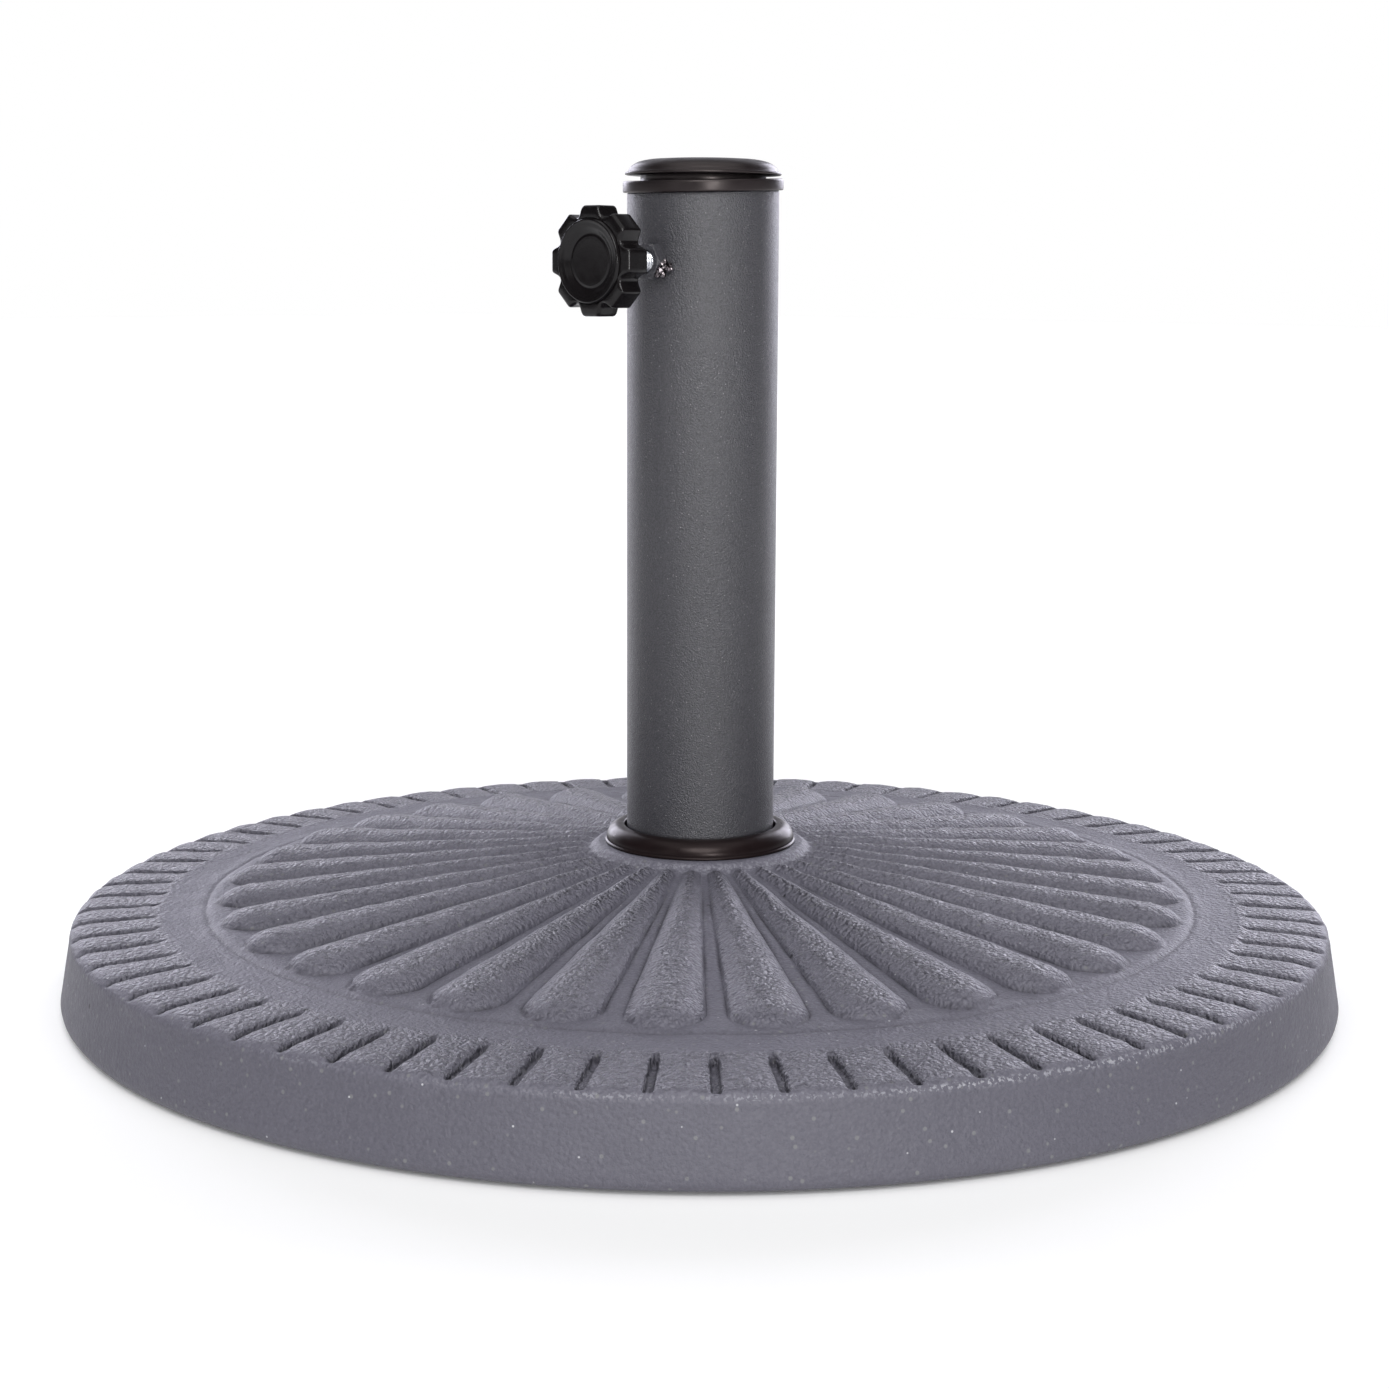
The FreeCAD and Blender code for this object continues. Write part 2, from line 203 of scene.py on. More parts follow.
# ---- materials ----
class Shader:
    """Small wrapper that adds and links nodes of one material."""

    def __init__(self, name):
        self.material = bpy.data.materials.new(name)
        self.material.use_nodes = True
        self.tree = self.material.node_tree
        self.shader = self.tree.nodes["Principled BSDF"]
        self.place = self.node("ShaderNodeTexCoord").outputs["Object"]

    def node(self, kind, **settings):
        made = self.tree.nodes.new(kind)
        for key, value in settings.items():
            setattr(made, key, value)
        return made

    def link(self, output, socket):
        self.tree.links.new(output, socket)

    def set(self, **values):
        """Uniform values on the shader's own sockets."""
        for key, value in values.items():
            self.shader.inputs[key.replace("_", " ")].default_value = value

    def noise(self, scale, detail=2.0, roughness=0.5, distortion=0.0):
        """Cloudy noise, 0 to 1."""
        made = self.node("ShaderNodeTexNoise")
        made.inputs["Scale"].default_value = scale
        made.inputs["Detail"].default_value = detail
        made.inputs["Roughness"].default_value = roughness
        made.inputs["Distortion"].default_value = distortion
        self.link(self.place, made.inputs["Vector"])
        return made.outputs["Fac"]

    def cells(self, scale, output="Distance", warp=None):
        """Voronoi cells: the distance to their middles, or a random number each where output is Color.

        warp is the scale of a noise that bends them and how far it reaches, in metres.
        """
        made = self.node("ShaderNodeTexVoronoi")
        made.inputs["Scale"].default_value = scale
        source = self.place
        if warp:
            bend = self.node("ShaderNodeTexNoise")
            bend.inputs["Scale"].default_value = warp[0]
            self.link(source, bend.inputs["Vector"])
            shift = self.node("ShaderNodeVectorMath", operation="MULTIPLY_ADD")
            self.link(bend.outputs["Color"], shift.inputs[0])
            shift.inputs[1].default_value = (warp[1], warp[1], warp[1])
            self.link(source, shift.inputs[2])
            source = shift.outputs["Vector"]
        self.link(source, made.inputs["Vector"])
        if output == "Color":
            split = self.node("ShaderNodeSeparateColor")
            self.link(made.outputs["Color"], split.inputs["Color"])
            return split.outputs["Red"]
        return made.outputs[output]

    def attribute(self, name):
        return self.node("ShaderNodeAttribute", attribute_name=name).outputs["Fac"]

    def ramp(self, source, *stops):
        """Colour ramp; each stop is (position, colour or grey)."""
        made = self.node("ShaderNodeValToRGB")
        elements = made.color_ramp.elements
        while len(elements) < len(stops):
            elements.new(0.5)
        for element, (position, colour) in zip(elements, stops):
            element.position = position
            element.color = colour if isinstance(colour, tuple) else (colour, colour, colour, 1)
        self.link(source, made.inputs["Fac"])
        return made.outputs["Color"]

    def math(self, operation, a, b):
        made = self.node("ShaderNodeMath", operation=operation)
        for socket, value in zip(made.inputs, (a, b)):
            if isinstance(value, (int, float)):
                socket.default_value = value
            else:
                self.link(value, socket)
        return made.outputs["Value"]

    def times(self, a, b):
        return self.math("MULTIPLY", a, b)

    def mix(self, factor, a, b):
        made = self.node("ShaderNodeMix", data_type="RGBA")
        for key, value in (("Factor", factor), ("A", a), ("B", b)):
            socket = [s for s in made.inputs if s.name == key and s.enabled][0]
            if isinstance(value, (int, float, tuple)):
                socket.default_value = value
            else:
                self.link(value, socket)
        return [s for s in made.outputs if s.enabled][0]

    def bump(self, height, distance, strength=1.0, under=None):
        """Normal bent by a height; under is the normal of the coarser bump that it lies on."""
        made = self.node("ShaderNodeBump")
        made.inputs["Strength"].default_value = strength
        made.inputs["Distance"].default_value = distance
        self.link(height, made.inputs["Height"])
        if under is not None:
            self.link(under, made.inputs["Normal"])
        return made.outputs["Normal"]

    def colour(self, source):
        self.link(source, self.shader.inputs["Base Color"])

    def roughness(self, source):
        self.link(source, self.shader.inputs["Roughness"])

    def normal(self, source):
        self.link(source, self.shader.inputs["Normal"])


# Colours are linear, as red, green, blue, 1.
STONE_DARK = (0.100, 0.097, 0.124, 1)
STONE_LIGHT = (0.124, 0.120, 0.151, 1)
GRAIN_DARK = (0.082, 0.079, 0.104, 1)
GRAIN_LIGHT = (0.156, 0.151, 0.186, 1)
# Painted shade: the darker colour down the wall.
WALL_PAINTED_SHADE = (0.050, 0.048, 0.062, 1)
# Painted sheen: the lighter tone of hammered places.
HAMMERED_PAINTED_SHEEN = (0.165, 0.160, 0.196, 1)
# Painted shade in the dents of hammered places.
DENT_PAINTED_SHADE = (0.030, 0.029, 0.038, 1)
# Painted shade in the pits.
PIT_PAINTED_SHADE = (0.02, 0.02, 0.024, 1)
BARE_STONE = (0.42, 0.42, 0.46, 1)
# Painted shade in the creases: the flutes' feet, the slots' sides and the band's groove.
CREASE_PAINTED_SHADE = (0.022, 0.021, 0.027, 1)
SPECK_BLUE = 1.06
# Specks in the stone: cells per metre, radius as a share of a cell, share of cells with one, and tone.
SPECKS = ((240, 0.2, 0.55, 0.155), (170, 0.075, 0.4, 0.42))
PIT_SCALE = 75


def stone_colour(s, hammer, dents, pits, worn):
    """Stone colour: ground, specks and chips, with painted sheen and painted shade, the creases' painted shade
    last.
    """
    patches = s.ramp(s.noise(scale=18, detail=3), (0.3, STONE_DARK), (0.7, STONE_LIGHT))
    grains = s.ramp(s.noise(scale=900, detail=3, roughness=0.6), (0.36, GRAIN_DARK), (0.66, GRAIN_LIGHT))
    colour = s.mix(0.45, patches, grains)
    # Painted shade: darker down the wall, on the rim's rounding and on the underside.
    colour = s.mix(s.times(s.attribute("wall"), 0.36), colour, WALL_PAINTED_SHADE)
    for scale, radius, share, tone in SPECKS:
        size = s.ramp(s.cells(scale), (0.0, 1.0), (radius * 0.6, 1.0), (radius, 0.0))
        pick = s.ramp(s.cells(scale, output="Color"), (1 - share - 0.02, 0.0), (1 - share, 1.0))
        colour = s.mix(s.times(size, pick), colour, (tone, tone, tone * SPECK_BLUE, 1))
    # Painted shade in the dents of hammered places, after a painted sheen on them.
    dent_shade = s.times(s.ramp(dents, (0.52, 0.0), (0.80, 1.0)), hammer)
    # Painted sheen: hammered places lighter.
    colour = s.mix(s.times(hammer, 0.45), colour, HAMMERED_PAINTED_SHEEN)
    colour = s.mix(s.times(dent_shade, 0.5), colour, DENT_PAINTED_SHADE)
    # Painted shade in the pits.
    colour = s.mix(pits, colour, PIT_PAINTED_SHADE)
    colour = s.mix(worn, colour, BARE_STONE)
    # Painted shade in the creases, laid last.
    return s.mix(s.times(s.attribute("crease"), 0.75), colour, CREASE_PAINTED_SHADE)


def stone_relief(s, hammer, dents, pits, worn):
    """Normal of the cast stone: hammered waves, then finer and finer marks on them."""
    waves = s.noise(scale=520, detail=2, roughness=0.6, distortion=0.4)
    hammered = s.times(s.math("ADD", s.times(dents, -0.55), waves), hammer)
    coarse = s.bump(hammered, distance=0.0036)
    fine = s.bump(s.noise(scale=1500, detail=3, roughness=0.65), distance=0.00022, strength=0.8, under=coarse)
    pitted = s.bump(s.math("SUBTRACT", 1.0, pits), distance=0.0006, strength=0.7, under=fine)
    return s.bump(worn, distance=0.0004, strength=0.6, under=pitted)


def cast_stone():
    """Painted cast resin and stone: bluish grey, hammered on the raised pattern, specked and pitted.

    The mesh's masks say how hammered and chipped each place is, and how much painted shade it takes in creases
    and down the wall.
    """
    s = Shader("cast_stone")
    hammer = s.attribute("hammer")
    dents = s.cells(scale=600, warp=(460, 0.0014))
    pit_size = s.ramp(s.cells(scale=PIT_SCALE), (0.0, 1.0), (0.05, 1.0), (0.08, 0.0))
    pit_pick = s.ramp(s.cells(scale=PIT_SCALE, output="Color"), (0.88, 0.0), (0.90, 1.0))
    flakes = s.ramp(s.noise(scale=820, detail=2, roughness=0.6), (0.52, 0.0), (0.58, 1.0))
    marks = (hammer, dents, s.times(pit_size, pit_pick), s.times(flakes, s.attribute("chip")))
    s.colour(stone_colour(s, *marks))
    gloss = s.ramp(s.noise(scale=620, detail=2), (0.3, 0.28), (0.7, 0.48))
    smooth_gloss = s.ramp(s.noise(scale=200, detail=3), (0.3, 0.52), (0.7, 0.62))
    s.roughness(s.mix(hammer, smooth_gloss, gloss))
    s.normal(stone_relief(s, *marks))
    s.set(Specular_IOR_Level=0.5)
    return s.material


COAT_DARK = (0.029, 0.028, 0.034, 1)
COAT_LIGHT = (0.036, 0.035, 0.042, 1)
COAT_GRAIN_DARK = (0.014, 0.0135, 0.018, 1)
COAT_GRAIN_LIGHT = (0.074, 0.073, 0.084, 1)
DUST = (0.45, 0.44, 0.46, 1)


def powder_coat():
    """Dark grey fine-textured powder coat with specks of dust."""
    s = Shader("powder_coat")
    patches = s.ramp(s.noise(scale=40, detail=3), (0.3, COAT_DARK), (0.7, COAT_LIGHT))
    fine = s.noise(scale=1500, detail=2, roughness=0.6)
    grains = s.ramp(fine, (0.35, COAT_GRAIN_DARK), (0.68, COAT_GRAIN_LIGHT))
    specks = s.ramp(s.cells(scale=420), (0.0, 0.45), (0.06, 0.35), (0.12, 0.0))
    s.colour(s.mix(specks, s.mix(0.5, patches, grains), DUST))
    s.roughness(s.ramp(s.noise(scale=600, detail=2), (0.3, 0.33), (0.7, 0.40)))
    s.normal(s.bump(s.noise(scale=1700, detail=2, roughness=0.6), distance=0.00042))
    s.set(Specular_IOR_Level=0.8)
    return s.material


def black_plastic(name, dull, specular, colour, tint=(1, 1, 1, 1)):
    """Black moulded plastic with a faint moulding texture; dull is its lowest roughness."""
    s = Shader(name)
    darker, lighter = [tuple(part * v for v in colour) + (1,) for part in (0.75, 1.25)]
    s.colour(s.ramp(s.noise(scale=60, detail=3), (0.3, darker), (0.7, lighter)))
    s.roughness(s.ramp(s.noise(scale=260, detail=3), (0.3, dull), (0.7, dull + 0.1)))
    s.normal(s.bump(s.noise(scale=2200, detail=2), distance=0.00003, strength=0.4))
    s.set(Specular_IOR_Level=specular, Specular_Tint=tint)
    return s.material


ZINC_DARK = (0.56, 0.58, 0.62, 1)
ZINC_LIGHT = (0.74, 0.76, 0.80, 1)
STAIN = (0.07, 0.06, 0.065, 1)
BRIGHT_WELD = (0.66, 0.60, 0.62, 1)
RUBBER_DARK = (0.012, 0.012, 0.012, 1)
RUBBER_LIGHT = (0.028, 0.027, 0.027, 1)
NYLON_DARK = (0.60, 0.58, 0.52, 1)
NYLON_LIGHT = (0.70, 0.68, 0.62, 1)


def zinc():
    """Bright zinc plating."""
    s = Shader("zinc_plate")
    s.colour(s.ramp(s.noise(scale=500, detail=3), (0.3, ZINC_DARK), (0.7, ZINC_LIGHT)))
    s.roughness(s.ramp(s.noise(scale=900, detail=2), (0.3, 0.18), (0.7, 0.36)))
    s.set(Metallic=1.0)
    return s.material


def weld_metal():
    """Bare weld: bright beads with brown and grey heat stain."""
    s = Shader("weld_metal")
    s.colour(s.ramp(s.noise(scale=420, detail=3), (0.42, STAIN), (0.56, BRIGHT_WELD)))
    s.roughness(s.ramp(s.noise(scale=900, detail=2), (0.3, 0.20), (0.7, 0.42)))
    s.normal(s.bump(s.noise(scale=1500, detail=2), distance=0.0002, strength=0.6))
    s.set(Metallic=1.0)
    return s.material


def rubber():
    """Matt black rubber."""
    s = Shader("pad_rubber")
    s.colour(s.ramp(s.noise(scale=200, detail=3), (0.3, RUBBER_DARK), (0.7, RUBBER_LIGHT)))
    s.roughness(s.ramp(s.noise(scale=400, detail=2), (0.3, 0.75), (0.7, 0.9)))
    s.normal(s.bump(s.noise(scale=900, detail=2), distance=0.0001, strength=0.6))
    return s.material


def nylon():
    """Natural nylon."""
    s = Shader("nylon")
    s.colour(s.ramp(s.noise(scale=300, detail=2), (0.3, NYLON_DARK), (0.7, NYLON_LIGHT)))
    s.roughness(s.ramp(s.noise(scale=500, detail=2), (0.3, 0.4), (0.7, 0.5)))
    s.set(Subsurface_Weight=0.1)
    return s.material


STONE = cast_stone()
PAINT = powder_coat()
PLASTIC = black_plastic("satin_plastic", 0.29, 0.38, (0.0125, 0.0098, 0.0104), (1, 0.88, 0.86, 1))
RING_PLASTIC = black_plastic("ring_plastic", 0.27, 0.2, (0.010, 0.0062, 0.0066), (1, 0.84, 0.82, 1))
KNOB_PLASTIC = black_plastic("knob_plastic", 0.17, 0.27, (0.0050, 0.0042, 0.0046))
ZINC = zinc()
WELD = weld_metal()
RUBBER = rubber()
NYLON = nylon()


# ---- casting ----
FLUTES = 32
FLUTE_PHASE = 4.5
FLUTE_END_R = 173.0
FLUTE_HALF_WIDTH = 13.5
FLUTE_HEIGHT = 5.4
SLOTS = 72
SLOT_PHASE = 3.25
SLOT_INNER_R = 208.0
SLOT_DEPTH = 2.8
SLOT_HALF_WIDTH = 2.15
SLOT_FLOOR_HALF = 0.9
LUMP_CROWN = 1.1

# Where columns lie beside a flute's or slot's middle, as fractions of half a pitch.
FLUTE_MARKS = (0.09, 0.18, 0.28, 0.38, 0.47, 0.55, 0.62, 0.68, 0.73, 0.77, 0.797, 0.83, 0.90)
SLOT_MARKS = (0.085, 0.135, 0.185, 0.25, 0.5)
# A flute has one more column, at its middle, and a slot two, at its middle and halfway to the next slot.
# So 32 flutes have as many columns as 72 slots.
COLUMNS = FLUTES * (2 * len(FLUTE_MARKS) + 1)

UNEVENNESS = 0.38
SOCKET_R = tube.r + 0.5
SOCKET_EDGE = 0.6
BOSS_R = 41.5
BOSS_TOP = casting.z1
FLOOR_R = 187.0
FLOOR = casting.z1 - 18.6
BAND_GROOVE_R = 190.6
BAND_GROOVE_DEPTH = 0.55
FOOT_GROOVE = 0.55
RIM_CREST = casting.z1 - 21.4
RIM_TOP = casting.z1 - 22.0
RIM_ROUND = 5.0
WALL_TOP = 27.6
WALL_TOP_R = casting.r - 4.0
FOOT_ROUND = 3.5
POCKET_R = 27.0
BOLT_HOLE_R = 5.6
# The rim is most chipped about one azimuth, and its slots reach further down about another.
WORN_AZIMUTH = 72.0
SOFT_AZIMUTH = -38.0
# Places on the rim's rounding, in degrees from 0 at the wall to 90 on top: where the slots end, how much further
# down they reach about the second azimuth, over how many degrees they fade, and where the chips are.
SLOT_END = 42
SOFT_REACH = 24
SLOT_FADE = 38
CHIPPED_EDGE = 32


def from_nearest(angles, middle, pitch=360):
    """Signed turn from the nearest of the middles, which are a pitch apart."""
    return (angles - middle + pitch / 2) % pitch - pitch / 2


def dome_height(r):
    """Level of the casting's top between its flutes, from the boss to the start of the rim's rounding."""
    radii = [0, BOSS_R - 0.6, BOSS_R + 1.2, FLUTE_END_R, FLOOR_R, 196.0, SLOT_INNER_R, casting.r - 11.5]
    levels = [BOSS_TOP, BOSS_TOP, BOSS_TOP - 3.0]
    levels += [FLOOR - 0.5, FLOOR - 0.9, RIM_CREST + 0.6, RIM_CREST + 0.5, RIM_TOP]
    taps = np.linspace(-1.2, 1.2, 7)
    smooth = np.mean([np.interp(r + t, radii, levels) for t in taps], axis=0)
    return smooth - BAND_GROOVE_DEPTH * bell(r - BAND_GROOVE_R)


def flute_crest(r):
    """Height of a flute's crest above the dome, which grows outward."""
    return FLUTE_HEIGHT * (0.18 + 0.82 * np.minimum(r / FLUTE_END_R, 1))


def flute_shape(r, offset):
    """Rise of a flute above the dome, and the distance outside its foot.

    r runs along the flute and offset across it. Its section is full and round, and its outer end is blunt.
    """
    size = np.minimum(r / FLUTE_END_R, 1)
    side = np.abs(offset) / (FLUTE_HALF_WIDTH * size)
    past = np.maximum(r - FLUTE_END_R + 3, 0) / (FLUTE_HALF_WIDTH + 3)
    full = smooth_step((r - 60) / 75)
    away = side ** (1.5 + 0.5 * full) + past ** 2.6
    rise = flute_crest(r) * np.maximum(1 - away, 0) ** (1.1 - 0.35 * full)
    return rise, (np.sqrt(away) - 1) * FLUTE_HALF_WIDTH * size


def both_sides(marks):
    """The marks with their mirror images and 0, in order."""
    return [-m for m in reversed(marks)] + [0] + list(marks)


def sampled_angles(phase, count, offsets):
    """Column angles in degrees: every pitch has one at each offset, a fraction of half a pitch."""
    half = 180 / count
    return np.array([phase + 2 * half * k + half * m for k in range(count) for m in offsets])


def column_angles():
    """Angles for the flutes, for the slots, and evenly spaced, all with the same number of columns.

    A column has nearly the same angle in all three, so that rings of different kinds join without twisting.
    """
    step = 360 / COLUMNS
    first_flute = len(FLUTE_MARKS)
    first_slot = first_flute + round((SLOT_PHASE - FLUTE_PHASE) / step)
    flutes = sampled_angles(FLUTE_PHASE, FLUTES, both_sides(FLUTE_MARKS))
    slots = sampled_angles(SLOT_PHASE, SLOTS, both_sides(SLOT_MARKS) + [1])
    slots = np.roll(slots, first_slot - len(SLOT_MARKS))
    even = FLUTE_PHASE + step * (np.arange(COLUMNS) - first_flute)
    flutes, slots = [even + (angles - even + 180) % 360 - 180 for angles in (flutes, slots)]
    return flutes, slots, even


def top_surface(r, angles):
    """Levels of the casting's top along one ring of columns, and how near each place is to a flute's foot."""
    nearest = np.radians(from_nearest(angles, FLUTE_PHASE, 360 / FLUTES))
    rise, outside = flute_shape(r * np.cos(nearest), r * np.sin(nearest))
    shown = float(smooth_step((r - BOSS_R) / 5))
    foot = bell((outside - 0.1) / 0.48) * float(smooth_step((r - 46) / 30)) * (r < FLOOR_R)
    return dome_height(np.full(len(angles), r)) + rise * shown - FOOT_GROOVE * foot, foot


def slot_depth(r, angles, fade):
    """How deep the rim is cut at one ring: a flat-floored slot, and the crown of the lump beside it."""
    pitch = 360 / SLOTS
    nearest = from_nearest(angles, SLOT_PHASE, pitch)
    offset = r * np.radians(nearest)
    start = smooth_step((r - SLOT_INNER_R + 0.5) / 4.0)
    narrow = 0.35 + 0.65 * np.clip((r - SLOT_INNER_R) / 6.0, 0, 1)
    slope = (SLOT_HALF_WIDTH - SLOT_FLOOR_HALF) * narrow
    slot = SLOT_DEPTH * start * smooth_step((SLOT_HALF_WIDTH * narrow - np.abs(offset)) / slope)
    crown = LUMP_CROWN * start * (1 - np.abs(nearest) / (pitch / 2)) ** 2
    return (slot + crown) * fade


def slot_walls(cut):
    """1 on the steep sides of a slot, less on its floor, 0 outside."""
    share = np.clip((cut - LUMP_CROWN) / SLOT_DEPTH, 0, 1)
    return smooth_step(share / 0.4) * (1 - 0.8 * smooth_step((share - 0.75) / 0.22))


def rough(points, size, seed):
    """Smooth noise at points, about -1 to 1, whose bumps are about size apart."""
    shift = Vector((seed, seed * 1.7, seed * 0.3))
    return np.array([noise.noise(Vector(p) / size + shift) for p in points])


def ring_points(r, angles, z):
    """Points of one ring at the columns' angles; r and z are numbers, or one for each column."""
    turn = np.radians(angles - 90)
    return np.stack(np.broadcast_arrays(r * np.cos(turn), r * np.sin(turn), z), 1)


class CastShell:
    """Rings of the casting, and four masks from 0 to 1 at each of their points.

    The masks say how hammered a place is, how chipped, and how much painted shade it takes in a crease and down
    the wall.
    """

    def __init__(self):
        self.rings = []
        self.masks = {"hammer": [], "chip": [], "crease": [], "wall": []}

    def add(self, points, **masks):
        """One more ring. A mask is one number or one for each column, and it is 0 where it isn't given."""
        self.rings.append(points)
        for name, values in self.masks.items():
            values.append(np.broadcast_to(masks.get(name, 0.0), COLUMNS))


def top_radii():
    """Radii of the rings over the top, closest together where it bends most."""
    return np.concatenate([
        [SOCKET_R, SOCKET_R + SOCKET_EDGE, 36.0, 39.5, 40.9, 41.7, 42.6, 44.0, 46.5],
        np.linspace(49.5, 156, 32),
        np.linspace(160, 187.6, 18),
        [189.0, 189.9, 190.6, 191.3, 192.2],
        np.linspace(194, 206.5, 7),
        np.linspace(207.6, 214.5, 8),
        np.linspace(218, casting.r - 12.5, 4),
    ])


def hammered_share(r, z, cut):
    """How hammered each place of a ring is: most on the flutes' crests and on the rim's lumps."""
    share = (z - dome_height(np.full(COLUMNS, r))) / flute_crest(r)
    raised = 0.3 * smooth_step((share - 0.1) / 0.2) + 0.7 * smooth_step((share - 0.7) / 0.22)
    raised = raised * smooth_step((r - BOSS_R) / 8)
    on_rim = smooth_step((r - SLOT_INNER_R + 4) / 6)
    return np.maximum(0.14 + 0.86 * raised, on_rim * (0.82 - 0.4 * smooth_step(cut / 2)))


def add_top(shell, flutes, slots):
    """Rings from the socket's edge over the flutes and along the slots to the rim's rounding."""
    for r in top_radii():
        to_slots = smooth_step((r - 194) / 12)
        angles = flutes * (1 - to_slots) + slots * to_slots
        cut = slot_depth(r, angles, 1.0)
        z, foot = top_surface(r, angles)
        z = z - cut
        if r <= SOCKET_R + 0.1:
            z = z - SOCKET_EDGE
        rough_here = hammered_share(r, z, cut)
        points = ring_points(r, angles, z)
        swell = rough_here * (rough(points, 4.5, 3) + rough(points, 8, 6)) + 1.2 * rough(points, 17, 9)
        points[:, 2] += UNEVENNESS * smooth_step((r - 40) / 20) * swell
        # Painted shade at the flutes' feet, on the slots' sides and in the band's groove.
        foot_painted_shade = foot * np.clip(0.5 + 1.1 * rough(points, 15, 11), 0.08, 1)
        band_painted_shade = 0.25 * float(bell((r - BAND_GROOVE_R) / 0.9))
        crease = np.maximum(np.maximum(foot_painted_shade, slot_walls(cut)), band_painted_shade)
        boss_wear = 0.25 * float(bell((r - BOSS_R - 1) / 2.5))
        shell.add(points, hammer=rough_here, chip=boss_wear, crease=crease)


def add_rim(shell, slots):
    """Rings round the rim's rounded edge, from its top down to the wall; the slots fade out on the way."""
    centre_r = WALL_TOP_R - RIM_ROUND
    soft_side = bell(from_nearest(slots, SOFT_AZIMUTH) / 42)
    worn_side = bell(from_nearest(slots, WORN_AZIMUTH) / 30)
    for degrees in np.linspace(86, 0, 11):
        across = math.cos(math.radians(degrees))
        up = math.sin(math.radians(degrees))
        fade = smooth_step((degrees - SLOT_END + SOFT_REACH * soft_side) / SLOT_FADE)
        out = RIM_ROUND - slot_depth(centre_r + RIM_ROUND * across, slots, fade)
        r = centre_r + out * across
        points = ring_points(r, slots, WALL_TOP + out * up)
        edge = float(bell((degrees - CHIPPED_EDGE) / 12))
        bumps = 0.2 * rough(points, 4.5, 3) + 0.22 * rough(points, 9, 5) + 0.3 * edge * rough(points, 2.6, 8)
        # Painted shade on the slots' sides and down the rounding towards the wall.
        shell.add(
            points + ring_points(across, slots, up) * bumps[:, None],
            hammer=0.12 + 0.55 * float(smooth_step((degrees - 46) / 40)),
            chip=edge * np.clip(0.02 + 0.75 * worn_side + 0.4 * rough(points, 30, 4), 0, 1),
            crease=slot_walls(slot_depth(r, slots, fade)),
            wall=1 - float(smooth_step(degrees / 50)),
        )


def add_wall_and_underside(shell, slots, even):
    """Rings down the wall, round its foot, across the underside, and up the pocket and bolt hole."""
    wall = [(WALL_TOP_R + (casting.r - WALL_TOP_R) * t, WALL_TOP + (casting.z0 + FOOT_ROUND - WALL_TOP) * t)
            for t in (0.12, 0.3, 0.5, 0.7, 0.88, 1.0)]
    foot = [(casting.r - FOOT_ROUND * (1 - math.cos(a)), casting.z0 + FOOT_ROUND * (1 - math.sin(a)))
            for a in np.radians([25, 50, 75, 90])]
    under = [(r, casting.z0) for r in (200, 110, 32, 28.3, POCKET_R + 0.8)]
    under += [(POCKET_R, casting.z0 + 0.8), (POCKET_R, washer.z1), (BOLT_HOLE_R, washer.z1)]
    under += [(BOLT_HOLE_R, tube.z0), (SOCKET_R, tube.z0)]
    for i, (r, z) in enumerate(wall + foot + under):
        to_even = min(1, (i + 1) / len(wall))
        angles = slots * (1 - to_even) + even * to_even
        points = ring_points(r, angles, z)
        if i < len(wall):
            points += 0.12 * rough(points, 26, 2)[:, None] * ring_points(1, angles, 0)
        # Full painted shade down the wall and on the underside.
        shell.add(points, hammer=0.1, wall=1.0)


def make_casting():
    """The weight, from the socket's edge over the top, down the wall, under it and back up inside."""
    flutes, slots, even = column_angles()
    shell = CastShell()
    add_top(shell, flutes, slots)
    add_rim(shell, slots)
    add_wall_and_underside(shell, slots, even)
    verts, faces = skin(shell.rings, loop=True)
    made = piece("casting", verts, turned_over(faces), STONE, "cast_stone", "base", "base_casting", sharp=50)
    for name, values in shell.masks.items():
        layer = made.data.attributes.new(name, "FLOAT", "POINT")
        layer.data.foreach_set("value", np.concatenate(values).astype(np.float32))


make_casting()


# ---- post and its welded pieces ----
TUBE_WALL = 1.5
# The post's top edge and the flange on it slope down towards one azimuth, and sit a little low.
SEAT_AZIMUTH = 8.0
SEAT_TILT = 2.2
SEAT_DROP = 0.4
# Weld beads at one of the nut's two lower side corners: x, y, height above the knob's axis, and size.
TACKS = (
    (5.4, -30.9, -4.5, 1.3), (6.5, -30.7, -3.1, 1.5), (7.3, -30.2, -1.7, 1.5), (8.0, -29.7, -0.3, 1.2),
    (8.6, -29.3, -2.4, 1.3), (9.7, -28.9, -1.2, 1.0), (10.1, -28.6, -2.6, 0.75), (7.2, -29.6, -4.7, 1.1),
)


def seated(points):
    """Points near the post's top, lowered and tilted as the flange sits, down towards the knob's side."""
    a = math.radians(SEAT_AZIMUTH)
    moved = []
    for x, y, z in points:
        weight = float(smooth_step((z - tube.z1 + 6) / 5))
        towards = x * math.sin(a) - y * math.cos(a)
        moved.append((x, y, z - weight * (SEAT_DROP + towards * math.tan(math.radians(SEAT_TILT)))))
    return moved


def make_tube():
    """Post with eased upper edges."""
    inner = tube.r - TUBE_WALL
    profile = rounded([
        (inner, tube.z0), (tube.r, tube.z0), (tube.r, tube.z0 + 60), (tube.r, tube.z0 + 150),
        (tube.r, tube.z1, 0.5), (inner, tube.z1, 0.5), (inner, tube.z0 + 100),
    ])
    verts, faces = skin(turned(profile, 192), loop=True)
    piece("post_tube", seated(verts), faces, PAINT, "post_paint", "base", "tube")


def hexagon_radius(across_flats, angles, corner=0.35):
    """Radius of a hexagon with slightly rounded corners, one of them at angle 0."""
    nearest = from_nearest(angles, 0, np.pi / 3)
    flat = across_flats / 2 / np.cos(np.pi / 6 - np.abs(nearest))
    limit = across_flats / math.sqrt(3) - corner
    return np.minimum(flat, limit + 0.25 * (flat - limit))


